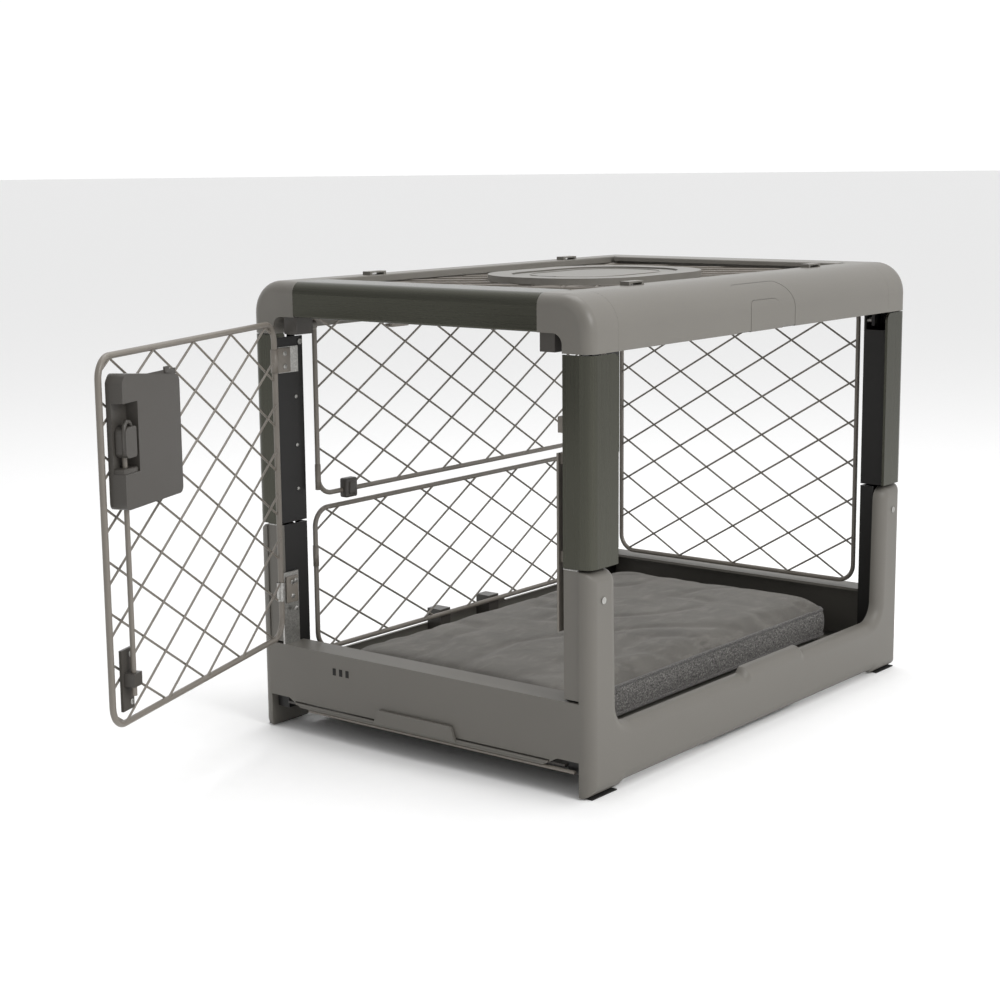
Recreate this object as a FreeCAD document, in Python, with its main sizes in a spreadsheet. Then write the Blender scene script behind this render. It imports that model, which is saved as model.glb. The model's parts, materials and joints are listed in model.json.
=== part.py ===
"""Folding wire dog crate: U-shaped plastic base frames, four Z-fold legs, a roof frame with a hatch,
mesh walls, a swinging front door, a side door stowed under the roof, a tray and a cushion.
+X is the open side, the front door is at -Y, +Z is up, and the origin is on the floor under the middle."""
import FreeCAD, Part
import math
import os
import re
from types import SimpleNamespace
from FreeCAD import Vector

SIZES = [
    # overall
    ("width", 575), ("depth", 825), ("height", 632),
    # legs and their fold
    ("leg_across", 42), ("leg_along", 60), ("leg_round", 16), ("arm_wall", 18), ("arm_top", 292),
    ("arm_round", 20), ("seam_gap", 3), ("lane_gap", 2), 
    ("foot_pivot_up", 41), ("inner_pivot_in", 50), ("knee_in", 2), ("pivot_radius", 4),
    ("link_front", 10), ("strip_bottom", 127), ("post_round", 10), ("channel_skin", 3), ("cap_gap", 1.5),
         ("run_gap", 0.05),
    # base
    ("rail_top", 84), ("rail_round", 30), ("rail_step", 8), ("step_length", 150), ("step_at", 40),
    ("plate_top", 124), ("plate_thick", 6), ("plate_low", 36), ("ledge_deep", 34), ("ledge_thick", 4),
    ("foot_long", 70), ("foot_lift", 6), ("pad_thick", 1.5), ("pan_up", 40), ("pan_thick", 3),
         ("tray_thick", 2.5),
    ("tray_side", 66), ("cushion_gap", 8), ("cushion_thick", 66), ("edge_wire", 2.5),
    # roof
    ("cap_tall", 72), ("roof_round", 45), ("rail_in", 74), ("rail_skin", 8), ("flange_thick", 10),
    ("beam_tall", 48), ("beam_round", 16), ("beam_skin", 7), ("cap_in", 80), ("fit_gap", 0.4),
    ("hatch_wide", 250), ("hatch_long", 330), ("ring_band", 34), ("ring_thick", 9), ("lid_thick", 6),
         ("lid_gap", 2.5),
    ("grip_long", 150), ("grip_hole_long", 84), 
    # panels
    ("tube_radius", 3.5), ("wire_radius", 1.5), ("diamond_wide", 104), ("diamond_tall", 62),
    ("bend", 26), ("lower_lane", 47.5), ("upper_lane", 55.5), ("panel_split", 318), ("split_gap", 22),
    ("wall_side", 66), ("wall_pivot_up", 570), ("wall_low", 132), ("wall_in", 28), ("side_door_top", 592),
    ("side_door_tall", 446),
    # front door and its latch
    ("door_gap", 15), ("door_tube", 4), ("door_axis_out", 5.5), ("door_low", 138), ("door_high", 575),
    ("saddle_low", 505), ("saddle_high", 541), ("strike_low", 212), ("strike_high", 437), ("stop_low", 462),
    ("stop_high", 482), ("knuckle_low", 188), ("knuckle_high", 214), ("jamb_high", 226),
    ("door_open", 70), ("latch_wide", 138), ("latch_low", 398), ("latch_high", 556), ("latch_deep", 22),
         ("rod_radius", 3.2),
    ("screw_radius", 4.5),
]

doc = FreeCAD.newDocument("dog_crate")
dims = doc.addObject("Spreadsheet::Sheet", "dims")
for row, (alias, number) in enumerate(SIZES, 1):
    dims.set(f"A{row}", alias)
    dims.set(f"B{row}", str(number))
    dims.setAlias(f"B{row}", alias)
doc.recompute()
s = SimpleNamespace(**{alias: float(dims.get(alias)) for alias, _ in SIZES})
NAMES = {alias for alias, _ in SIZES}
hx = s.width / 2
hy = s.depth / 2
NODES = []


def bind(obj, prop, text):
    """Bind a property to an expression in which sheet names stand without their prefix."""
    obj.setExpression(prop, re.sub(r"[a-z_]+", lambda m: "dims." + m[0] if m[0] in NAMES else m[0], text))


def block(name, x, y, z):
    """A box whose sides are pairs of expressions."""
    box = doc.addObject("Part::Box", name)
    for side, axis, (low, high) in zip(("Length", "Width", "Height"), "xyz", (x, y, z)):
        bind(box, side, f"({high}) - ({low})")
        bind(box, f"Placement.Base.{axis}", low)
    return box


def rod(name, axis, start, end, across, radius):
    """A round bar along X, Y or Z from start to end; across holds the other two coordinates in order."""
    bar = doc.addObject("Part::Cylinder", name)
    turn = {"x": (Vector(0, 1, 0), 90), "y": (Vector(1, 0, 0), -90), "z": (Vector(0, 0, 1), 0)}[axis]
    bar.Placement = FreeCAD.Placement(Vector(), FreeCAD.Rotation(*turn))
    bind(bar, "Radius", radius)
    bind(bar, "Height", f"({end}) - ({start})")
    for place, text in zip([axis] + [a for a in "xyz" if a != axis], [start] + list(across)):
        bind(bar, f"Placement.Base.{place}", text)
    return bar


def lane(side, near, far):
    """The X span from near to far inward of the outer face on one side (+1 right, -1 left)."""
    if side > 0:
        return f"width / 2 - ({far})", f"width / 2 - ({near})"
    return f"-width / 2 + ({near})", f"-width / 2 + ({far})"


def inset(end, near, far):
    """The Y span from near to far inward of the end face (+1 rear, -1 front)."""
    if end > 0:
        return f"depth / 2 - ({far})", f"depth / 2 - ({near})"
    return f"-depth / 2 + ({near})", f"-depth / 2 + ({far})"


def node(label, *pieces):
    """Name one sub-part: a single object, or separate solids grouped."""
    part = pieces[0]
    if len(pieces) > 1:
        part = doc.addObject("Part::Compound", label + "_group")
        part.Links = list(pieces)
    part.Label = label
    NODES.append(part)
    return part


def cut(name, base, *tools):
    for number, tool in enumerate(tools):
        result = doc.addObject("Part::Cut", f"{name}_cut{number}")
        result.Base = base
        result.Tool = tool
        base = result
    return base


def fuse(name, *pieces):
    whole = doc.addObject("Part::MultiFuse", name + "_fused")
    whole.Shapes = list(pieces)
    return whole


def outline(corners):
    """Edges round a closed outline of (a, b, radius) corners, each radius a tangent arc."""
    count = len(corners)
    ends = []
    for i, (a, b, radius) in enumerate(corners):
        here = Vector(a, b, 0)
        back = (Vector(*corners[i - 1][:2], 0) - here).normalize()
        ahead = (Vector(*corners[(i + 1) % count][:2], 0) - here).normalize()
        if radius == 0:
            ends.append((here, here, here))
            continue
        half = back.getAngle(ahead) / 2
        reach = radius / math.tan(half)
        middle = here + (back + ahead).normalize() * (radius / math.sin(half) - radius)
        ends.append((here + back * reach, middle, here + ahead * reach))
    edges = []
    for i, (first, middle, last) in enumerate(ends):
        if first.distanceToPoint(last) > 1e-6:
            edges.append(Part.Arc(first, middle, last))
        after = ends[(i + 1) % count][0]
        if last.distanceToPoint(after) > 1e-6:
            edges.append(Part.LineSegment(last, after))
    return edges


PLANES = {"XY": "XY_Plane", "XZ": "XZ_Plane", "YZ": "YZ_Plane"}


def profile(name, plane, corners, start, length):
    """A PartDesign body: an outline on an origin plane, padded by length from the offset start."""
    body = doc.addObject("PartDesign::Body", name)
    sketch = body.newObject("Sketcher::SketchObject", name + "_outline")
    sketch.AttachmentSupport = [(next(f for f in body.Origin.OriginFeatures if f.Role == PLANES[plane]), "")]
    sketch.MapMode = "FlatFace"
    sketch.addGeometry(outline(corners), False)
    pad = body.newObject("PartDesign::Pad", name + "_pad")
    pad.Profile = sketch
    bind(pad, "Length", length)
    if plane == "XZ":
        pad.Reversed = True
    bind(body, f"Placement.Base.{({'XY': 'z', 'XZ': 'y', 'YZ': 'x'})[plane]}", start)
    doc.recompute()
    return body


def round_edges(body, radius, wanted):
    """Fillet the edges of a body for which wanted(edge) is true."""
    last = body.Tip
    names = [f"Edge{i}" for i, e in enumerate(last.Shape.Edges, 1) if wanted(e)]
    fillet = body.newObject("PartDesign::Fillet", body.Name + "_fillet")
    fillet.Base = (last, names)
    bind(fillet, "Radius", radius)
    doc.recompute()
    return body


def solid(name, shape):
    part = doc.addObject("Part::Feature", name)
    part.Shape = shape
    return part


# ---------------------------------------------------------------- bent tubes and mesh
def stand(shape, origin, across, up):
    """Move a shape made in the XY plane so that X runs along across and Y along up."""
    out = across.cross(up)
    shape.transformShape(FreeCAD.Matrix(across.x, up.x, out.x, origin.x, across.y, up.y, out.y, origin.y,
                                        across.z, up.z, out.z, origin.z))
    return shape


def tube_loop(low, high, bend, radius):
    """A round tube bent round a rectangle, as one closed sweep."""
    corners = [(low[0], low[1], bend), (high[0], low[1], bend), (high[0], high[1], bend),
               (low[0], high[1], bend)]
    path = Part.Wire([e.toShape() for e in outline(corners)])
    edge = path.Edges[0]
    ring = Part.Wire([Part.makeCircle(radius, edge.valueAt(edge.FirstParameter),
                                      edge.tangentAt(edge.FirstParameter))])
    return path.makePipeShell([ring], True, False)


def outside(point, low, high, bend):
    """How far a point is outside a rounded rectangle (negative inside)."""
    dx = abs(point[0] - (low[0] + high[0]) / 2) - (high[0] - low[0]) / 2 + bend
    dy = abs(point[1] - (low[1] + high[1]) / 2) - (high[1] - low[1]) / 2 + bend
    return math.hypot(max(dx, 0), max(dy, 0)) + min(max(dx, dy), 0) - bend


def wires(low, high, bend, radius, keep_out=()):
    """Two layers of straight wires crossing in diamonds inside a rounded rectangle."""
    slope = math.atan2(s.diamond_tall, s.diamond_wide)
    spacing = s.diamond_wide * math.sin(slope)
    centre = Vector((low[0] + high[0]) / 2, (low[1] + high[1]) / 2, 0)
    reach = math.hypot(high[0] - low[0], high[1] - low[1]) / 2
    bars = []
    for layer in (1, -1):
        along = Vector(math.cos(slope), layer * math.sin(slope), 0)
        beside = Vector(-along.y, along.x, 0)
        count = int(reach / spacing) + 1
        for i in range(-count, count + 1):
            middle = centre + beside * ((i + 0.5) * spacing)
            steps = [k * 2.0 - reach for k in range(int(reach) + 1)]
            spans, run = [], []
            for t in steps:
                point = middle + along * t
                inside = outside(point, low, high, bend) < 0
                if inside and any(outside(point, *hole) < 0 for hole in keep_out):
                    inside = False
                if inside:
                    run.append(t)
                elif run:
                    spans.append((run[0], run[-1]))
                    run = []
            for start, end in spans:
                if end - start > 5 * s.tube_radius:
                    foot = middle + along * start + Vector(0, 0, layer * (radius + s.run_gap))
                    bars.append(Part.makeCylinder(radius, end - start, foot, along))
    return bars


def mesh_panel(low, high, bend, tube, keep_out=()):
    """A welded panel: a bent tube with diamond wires that end in it."""
    grow = tube - s.wire_radius
    inner = ((low[0] - grow + tube, low[1] - grow + tube), (high[0] + grow - tube, high[1] + grow - tube))
    return Part.makeCompound([tube_loop(low, high, bend, tube)] + wires(*inner, bend, s.wire_radius,
            keep_out))


X, Y, Z = Vector(1, 0, 0), Vector(0, 1, 0), Vector(0, 0, 1)
RIGHT, LEFT, REAR, FRONT = 1, -1, 1, -1
side_name = {RIGHT: "right", LEFT: "left"}
end_name = {REAR: "rear", FRONT: "front"}
seam = s.arm_top + s.seam_gap
post_top = s.height - s.cap_tall - s.cap_gap
knee_up = s.arm_top + s.seam_gap / 2
top_pivot_up = 2 * knee_up - s.foot_pivot_up

# ---------------------------------------------------------------- base
for side in (RIGHT, LEFT):
    name = side_name[side] + "_base_frame"
    a, t, top, r = s.leg_along, s.arm_top, s.rail_top, s.rail_round
    step = (s.step_at - s.step_length / 2, s.step_at + s.step_length / 2)
    corners = [
        (-hy, s.pad_thick, 3), (-hy, t, 3), (-hy + a, t, s.arm_round), (-hy + a + 4, top, r),
        (step[0] - s.rail_step, top, 3), (step[0], top + s.rail_step, 3),
        (step[1], top + s.rail_step, 3), (step[1] + s.rail_step, top, 3),
        (hy - a - 4, top, r), (hy - a, t, s.arm_round), (hy, t, 3), (hy, s.pad_thick, 3),
        (hy - s.foot_long, s.pad_thick, 1), (hy - s.foot_long - 10, s.foot_lift, 3),
        (-hy + s.foot_long + 10, s.foot_lift, 3), (-hy + s.foot_long, s.pad_thick, 1)]
    frame = profile(name, "YZ", corners, lane(side, 0, "arm_wall")[0], "arm_wall")
    outer = s.arm_wall if side > 0 else 0.0
    round_edges(frame, "leg_round", lambda e: abs(e.CenterOfMass.x - outer) < 0.1 and e.Length > t / 2
                and abs(abs(e.CenterOfMass.y) - hy) < 0.1 and abs(e.tangentAt(e.FirstParameter).z) > 0.9)
    node(name, frame)

arch = s.plate_low + 12
for end in (FRONT, REAR):
    name = end_name[end] + "_plate"
    w = hx - s.arm_wall
    plate = profile(name + "_sheet", "XZ", [
        (-w, arch, 0), (-w, s.plate_top, 0), (w, s.plate_top, 0), (w, arch, 0), (w - 34, arch, 6),
        (w - 56, s.plate_low, 8), (-w + 56, s.plate_low, 8), (-w + 34, arch, 6)],
        inset(end, 0, "plate_thick")[0], "plate_thick")
    ledge = block(name + "_ledge", ("-width / 2 + leg_across + lane_gap",
                                    "width / 2 - leg_across - lane_gap"),
                  inset(end, "plate_thick", "plate_thick + ledge_deep"),
                  ("plate_top - ledge_thick", "plate_top"))
    whole = fuse(name, plate, ledge)
    if end == FRONT:
        slot = block("tray_slot", ("-width / 2 + tray_side - lane_gap", "width / 2 - tray_side + lane_gap"),
                     inset(end, "-1", "plate_thick + 1"),
                     ("pan_up + run_gap", "pan_up + tray_thick + lane_gap"))
        whole = cut(name, whole, slot)
    node(name, whole)

inside_x = ("-width / 2 + leg_across + lane_gap", "width / 2 - leg_across - lane_gap")
clear_y = 125.0
pan = block("pan_sheet", inside_x, ("-depth / 2 + plate_thick", "depth / 2 - plate_thick"),
            ("pan_up - pan_thick", "pan_up"))
wings = block("pan_wings", ("-width / 2 + arm_wall", "width / 2 - arm_wall"), (f"-{clear_y}", f"{clear_y}"),
              ("pan_up - pan_thick", "pan_up"))
node("floor_pan", fuse("floor_pan", pan, wings))

node("foot_pads", *[block(f"pad_{side_name[a]}_{end_name[b]}", lane(a, 3, "arm_wall - 3"),
                          inset(b, 8, "foot_long - 8"),
                          ("0", "pad_thick")) for a in (RIGHT, LEFT) for b in (FRONT, REAR)])
pins = [rod(f"foot_pin_{side_name[a]}_{end_name[b]}", "x", *lane(a, "arm_wall", "leg_across + 1"),
            (inset(b, "inner_pivot_in", 0)[0 if b < 0 else 1], "foot_pivot_up"), "pivot_radius")
        for a in (RIGHT, LEFT) for b in (FRONT, REAR)]
node("foot_pivot_pins", *pins)
node("arm_screws", *[rod(f"arm_screw_{side_name[a]}_{end_name[b]}", "x", *lane(a, -1.2, 0),
                         (inset(b, 28, 0)[0 if b < 0 else 1], "arm_top - 38"), "screw_radius")
                     for a in (RIGHT, LEFT) for b in (FRONT, REAR)])
node("front_edge_wire", rod("edge_bar", "x", "-width / 2 + arm_wall + foot_long", "width / 2 - arm_wall - 8",
                            (inset(FRONT, "edge_wire + 1", 0)[0], "plate_low - edge_wire - run_gap"),
                            "edge_wire"))
node("panel_brackets", *[block(f"panel_bracket_{i}", lane(LEFT, "arm_wall", "lower_lane - tube_radius"),
                               (f"{y - 12}", f"{y + 12}"), ("pan_up + 8", "rail_top + 24")) for i,
                               y in enumerate((-60, 60))])
low_panel_up = s.rail_top + 18
node("left_lower_panel", solid("left_lower_panel_mesh", stand(mesh_panel(
    (-(hy - s.wall_side), low_panel_up), (hy - s.wall_side, s.panel_split - s.split_gap / 2), s.bend,
            s.tube_radius),
    Vector(-hx + s.lower_lane, 0, 0), Y, Z)))
tray = block("tray_sheet", ("-width / 2 + tray_side", "width / 2 - tray_side"),
             ("-depth / 2 - 2", "depth / 2 - ledge_deep - 10"),
             ("pan_up + 2 * run_gap", "pan_up + tray_thick"))
tab = profile("tray_tab", "XZ", [(-72, s.pan_up + 0.1, 1), (-64, s.pan_up + 20, 4), (64, s.pan_up + 20, 4),
                                 (72, s.pan_up + 0.1, 1)], "-depth / 2 - 5", "4")
node("tray", fuse("tray", tray, tab))
rest = "pan_up + tray_thick + lane_gap / 4"
node("cushion", block("cushion_block", ("-width / 2 + tray_side + cushion_gap",
                                        "width / 2 - tray_side - cushion_gap"),
                      ("-depth / 2 + ledge_deep + plate_thick + 10",
                       "depth / 2 - ledge_deep - plate_thick - 10"),
                      (rest, rest + " + cushion_thick")))

# ---------------------------------------------------------------- legs
for end in (FRONT, REAR):
    links, strips, covers, channels, knees = [], [], [], [], []
    y_of = lambda v: end * (hy - v)
    y_text = lambda v: inset(end, v, 0)[0 if end < 0 else 1]
    for side in (RIGHT, LEFT):
        tag = f"{side_name[side]}_{end_name[end]}"
        x_of = lambda v: side * (hx - v)
        near, far, k = s.arm_wall + s.lane_gap, s.leg_across, s.channel_skin
        front, back = s.link_front, s.leg_along - 4
        c_shape = [(far, front, 1), (far, back, 1), (near, back, 1), (near, back - k, 1),
                   (far - k, back - k, 0.5),
                   (far - k, front + k, 0.5), (near, front + k, 1), (near, front, 1)]
        link = profile("link_" + tag, "XY", [(x_of(a), y_of(b), r) for a, b, r in c_shape],
                       "foot_pivot_up - 12", "arm_top - foot_pivot_up + 12")
        bore = rod("link_bore_" + tag, "x", *lane(side, "arm_wall", "leg_across + 2"),
                   (y_text("inner_pivot_in"), "foot_pivot_up"), "pivot_radius + run_gap")
        links.append(cut("link_" + tag, link, bore))
        strips.append(block("strip_" + tag, lane(side, "arm_wall + lane_gap / 4", "leg_across"),
                            inset(end, "knee_in", "link_front"), ("strip_bottom", "arm_top")))
        l_shape = [(0, 0, s.leg_round), (0, s.leg_along, 0), (4, s.leg_along, 0), (4, 4, s.leg_round - 5),
                   (far, 4, 1), (far, 0, 1)]
        tall = "height - cap_tall - cap_gap - arm_top - seam_gap"
        cover = profile("cover_" + tag, "XY", [(x_of(a), y_of(b), r) for a, b, r in l_shape],
                        "arm_top + seam_gap", tall)
        round_edges(cover, "post_round",
                    lambda e: abs(e.CenterOfMass.z - (post_top - seam)) < 0.1 and e.Length < 5
                    and abs(abs(e.CenterOfMass.y) - (hy - s.leg_along)) < 0.1)
        covers.append(cover)
        c_shape = [(far, 4, 0), (far, back, 1), (6, back, 1), (6, back - k, 1), (far - k, back - k, 0.5),
                   (far - k, 4 + k, 0.5), (s.leg_round + 1, 4 + k, 1), (s.leg_round + 1, 4, 0)]
        channel = profile("channel_" + tag, "XY", [(x_of(a), y_of(b), r) for a, b, r in c_shape],
                          "arm_top + seam_gap",
                          "2 * (arm_top + seam_gap / 2) - foot_pivot_up + 8 - arm_top - seam_gap")
        notch = block("notch_" + tag, lane(side, 3, "leg_across - channel_skin - 0.5"),
                      inset(end, 44, "leg_along + 2"),
                      (str(top_pivot_up - 14), str(top_pivot_up + 20)))
        bore = rod("post_bore_" + tag, "x", *lane(side, 2, "leg_across + 2"),
                   (y_text("inner_pivot_in"), "2 * arm_top + seam_gap - foot_pivot_up"),
                   "pivot_radius + run_gap")
        channels.append(cut("channel_" + tag, channel, notch, bore))
        knees.append(rod("knee_" + tag, "x", *lane(side, "arm_wall + lane_gap", "leg_across"),
                         (y_text("knee_in"), "arm_top + seam_gap / 2"), "seam_gap / 2 - run_gap"))
    name = end_name[end]
    node(name + "_lower_links", *links)
    node(name + "_leg_strips", *strips)
    node(name + "_post_covers", *covers)
    node(name + "_post_channels", *channels)
    node(name + "_knee_pins", *knees)

saddle = block("saddle_plate", lane(LEFT, "leg_across", "leg_across + 2"), inset(FRONT, 6, 44),
               ("saddle_low", "saddle_high"))
prong = block("saddle_prong", lane(LEFT, "leg_across", "leg_across + 1.7"), inset(FRONT, -6, 6),
              ("saddle_low + 3", "saddle_high - 3"))
node("upper_hinge_saddle", fuse("saddle", saddle, prong))
bar = block("strike_plate", lane(RIGHT, "leg_across + 8", "leg_across + 11"), inset(FRONT, 3, 24),
            ("strike_low", "strike_high"))
arms = [block(f"strike_arm_{i}", lane(RIGHT, "leg_across", "leg_across + 8"), inset(FRONT, 7, 21),
              (str(z), str(z + 14)))
        for i, z in enumerate((300, 423))]
tab_top = block("strike_tab", lane(RIGHT, "leg_across", "leg_across + 11"), inset(FRONT, 6, 20),
                ("stop_low", "stop_high"))
node("strike_bar", fuse("strike", bar, *arms))
node("strike_stop", tab_top)
jamb = block("jamb_plate", lane(LEFT, "leg_across + lane_gap", "leg_across + lane_gap + 3"),
             inset(FRONT, 0, 30),
             ("plate_top", "jamb_high"))
knuckle = rod("jamb_knuckle", "z", "knuckle_low", "knuckle_high",
              (lane(LEFT, 48, 0)[0], "-depth / 2 - door_axis_out"), "door_tube + 2")
web = block("jamb_web", lane(LEFT, "leg_across + lane_gap", "leg_across + lane_gap + 3"),
            ("-depth / 2 - door_axis_out", "-depth / 2 + 2"), ("knuckle_low", "knuckle_high"))
bore = rod("jamb_bore", "z", "knuckle_low - 8", "knuckle_high + 6",
           (lane(LEFT, 48, 0)[0], "-depth / 2 - door_axis_out"), "door_tube + run_gap")
node("door_jamb_hinge", cut("jamb", fuse("jamb", jamb, knuckle, web), bore))

# ---------------------------------------------------------------- roof
roof_low = s.height - s.cap_tall
beam_low = s.height - s.beam_tall
caps = []
for side in (RIGHT, LEFT):
    for end in (FRONT, REAR):
        tag = f"{side_name[side]}_{end_name[end]}"
        shape = [(0, roof_low, 0), (0, s.height, s.roof_round), (s.cap_in, s.height, 0),
                 (s.cap_in, beam_low, 0),
                 (s.leg_across, beam_low, 14), (s.leg_across, roof_low, 0)]
        cap = profile("cap_" + tag, "XZ", [(side * (hx - a), b, r) for a, b, r in shape],
                      inset(end, 0, "leg_along")[0], "leg_along")
        face = 0.0 if end < 0 else s.leg_along
        caps.append(round_edges(cap, "beam_round", lambda e: abs(e.CenterOfMass.y - face) < 0.1
                    and abs(e.CenterOfMass.x) > hx - s.cap_in + 0.1
                    and (e.CenterOfMass.z > s.height - s.roof_round or abs(abs(e.CenterOfMass.x) - hx) < 0.1)))
node("corner_caps", *caps)
for end in (FRONT, REAR):
    name = end_name[end] + "_beam"
    q, low, top, flange = s.beam_skin, beam_low, s.height, s.rail_in - 2
    shape = [(0, low, 3), (0, top, s.beam_round), (flange, top, 2), (flange, top - q, 1), (q, top - q, 9),
             (q, low + q, 2),
             (40, low + q, 1), (40, low, 1)]
    node(name, profile(name, "YZ", [(end * (hy - a), b, r) for a, b, r in shape],
                       "-width / 2 + cap_in + fit_gap / 2", "width - 2 * cap_in - fit_gap"))


def band(side, skin, top_skin, reach):
    """Corners of a roof rail's section: a wall of that skin with a rounded top edge and a flange reaching in."""
    shape = [(0, roof_low, 1), (0, s.height, s.roof_round), (reach, s.height, 2),
             (reach, s.height - top_skin, 1),
             (skin, s.height - top_skin, s.roof_round - skin), (skin, roof_low, 1)]
    return [(side * (hx - a), b, r) for a, b, r in shape]


def swell(points, by):
    """The same outline, grown by that much all round, or shrunk where it is negative."""
    return [(a + by * math.copysign(1, a), b + (by if b > roof_low else 0), r + by if r else 0)
            for a, b, r in points]


for side in (RIGHT, LEFT):
    name = side_name[side] + "_roof_rail"
    rail = profile(name + "_bar", "XZ", band(side, s.rail_skin, s.flange_thick, s.rail_in),
                   "-depth / 2 + leg_along + fit_gap / 2", "depth - 2 * leg_along - fit_gap")
    half, hole = s.grip_long / 2, s.grip_hole_long / 2
    d_outer = [(-half, roof_low - 6, 0), (-half, s.height - 8.5, 14), (half, s.height - 8.5, 40),
               (half, roof_low - 6, 0)]
    d_hole = [(-hole, roof_low - 7, 0), (-hole, s.height - 30, 10), (hole, s.height - 30, 24),
              (hole, roof_low - 7, 0)]
    start = "width / 2 - 60" if side > 0 else "-width / 2 - 10"
    layer = profile(name + "_pocket_layer", "XZ", band(side, 5, 5, s.rail_in + 1),
                    f"-{half + 2}", str(2 * half + 4))
    ring = cut(name + "_pocket_ring", profile(name + "_pocket_out", "YZ", swell(d_outer, s.fit_gap), start,
                                        "70"),
               profile(name + "_pocket_in", "YZ", swell(d_hole, -s.fit_gap), start, "70"))
    pocket = doc.addObject("Part::MultiCommon", name + "_pocket")
    pocket.Shapes = [layer, ring]
    node(name, cut(name, rail, pocket))
    layer = profile(name + "_grip_layer", "XZ",
                    [(x - side * 0.3 if abs(abs(x) - hx) < 0.1 else x, z, r) for x, z,
                     r in band(side, 4.6, 4.6, s.rail_in)],
                    f"-{half}", str(2 * half))
    ring = cut(name + "_grip_ring", profile(name + "_grip_out", "YZ", d_outer, start, "70"),
               profile(name + "_grip_in", "YZ", d_hole, start, "70"),
               block(name + "_grip_trim", ("-width", "width"), ("-depth", "depth"),
                     ("0", "height - cap_tall + 3")))
    grip = doc.addObject("Part::MultiCommon", name + "_grip")
    grip.Shapes = [layer, ring]
    rods = [rod(f"{name}_grip_pivot{i}", "y", str(a), str(b), (lane(side, 2.5, 0)[0 if side < 0 else 1],
                "height - cap_tall + 3"), "2.2") for i, (a, b) in enumerate(((-half, -hole), (hole, half)))]
    node(side_name[side] + "_carry_grip", fuse(name + "_grip_whole", grip, *rods))
doc.recompute()
roof_plane = s.height - s.flange_thick - s.tube_radius - 0.1
reach_x, reach_y = hx - s.wall_side, hy - s.wall_side
hatch_low, hatch_high = (-s.hatch_wide / 2, -s.hatch_long / 2), (s.hatch_wide / 2, s.hatch_long / 2)
hole = ((hatch_low[0] + 12, hatch_low[1] + 12), (hatch_high[0] - 12, hatch_high[1] - 12), 98)
node("roof_mesh", solid("roof_mesh_wires", stand(mesh_panel((-reach_x, -reach_y), (reach_x, reach_y), s.bend,
     s.tube_radius, [hole]), Vector(0, 0, roof_plane), X, Y)))
hatch_base = roof_plane + 2 * s.wire_radius + 0.4


def racetrack(shrink):
    a, b = s.hatch_wide / 2 - shrink, s.hatch_long / 2 - shrink
    return [(-a, -b, 110 - shrink), (a, -b, 110 - shrink), (a, b, 110 - shrink), (-a, b, 110 - shrink)]


node("hatch_ring", cut("hatch_ring", profile("ring_out", "XY", racetrack(0), str(hatch_base), "ring_thick"),
                       profile("ring_in", "XY", racetrack(s.ring_band), str(hatch_base - 1),
                               "ring_thick + 2")))
node("hatch_lid", profile("lid_plate", "XY", racetrack(s.ring_band + s.lid_gap), str(hatch_base + 1),
                          "lid_thick"))
node("left_upper_panel", solid("left_upper_panel_mesh", stand(mesh_panel(
    (-(hy - s.wall_side), s.panel_split + s.split_gap / 2),
            (hy - s.wall_side, s.height - s.flange_thick - 12),
    s.bend, s.tube_radius), Vector(-hx + s.upper_lane, 0, 0), Y, Z)))
node("panel_hangers", *[block(f"hanger_{i}", lane(LEFT, "upper_lane - 5", "upper_lane + 5"),
                              (str(y - 14), str(y + 14)),
     ("height - flange_thick - 8.4", "height - flange_thick")) for i, y in enumerate((-200, 0, 200))])
tongues, pins = [], []
for side in (RIGHT, LEFT):
    for end in (FRONT, REAR):
        tag = f"{side_name[side]}_{end_name[end]}"
        y_text = inset(end, "inner_pivot_in", 0)[0 if end < 0 else 1]
        tongues.append(block("tongue_" + tag, lane(side, 26, 31), inset(end, 41, 52),
                             (str(top_pivot_up - 8), "height - cap_tall")))
        bar = rod("top_pin_" + tag, "x", *lane(side, 31, "leg_across + 1"), (y_text, str(top_pivot_up)),
                  "pivot_radius" if end == FRONT else "pivot_radius - 0.6")
        pins.append(bar)
node("pivot_tongues", *tongues)
node("top_pivot_pins", *pins)
node("wall_hinge_clips", *[block(f"wall_clip_{i}", (f"{x - 13}", f"{x + 13}"),
                                 inset(REAR, "wall_in - 7", "wall_in - 4"),
     ("wall_pivot_up - 5", "height - beam_tall")) for i, x in enumerate((-150, 150))])
loops = []
for side in (RIGHT, LEFT):
    for i, y in enumerate((-230, 230)):
        loop = block(f"loop_{side}_{i}", lane(side, "rail_in - 16", "rail_in - 2"),
                     (f"{y - 17}", f"{y + 17}"),
                     ("height", "height + 5"))
        slot = block(f"loop_slot_{side}_{i}", lane(side, "rail_in - 20", "rail_in + 2"),
                     (f"{y - 12}", f"{y + 12}"),
                     ("height - 1", "height + 3"))
        loops.append(cut(f"loop_{side}_{i}", loop, slot))
node("strap_loops", *loops)
for end, tall in ((FRONT, 24), (REAR, 9)):
    node(end_name[end] + "_corner_brackets", *[block(f"bracket_{side_name[side]}_{end_name[end]}",
         lane(side, "leg_across + 15", "cap_in"), inset(end, 6, 38),
                                        (f"height - beam_tall - {tall}", "height - beam_tall"))
         for side in (RIGHT, LEFT)])
node("bump_rollers", *[rod(f"roller_{side_name[side]}", "y", *inset(FRONT, 38, 52),
     (lane(side, "leg_across + 27", 0)[0 if side < 0 else 1], "height - beam_tall - 14"),
                           "6.5") for side in (RIGHT, LEFT)])

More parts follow.
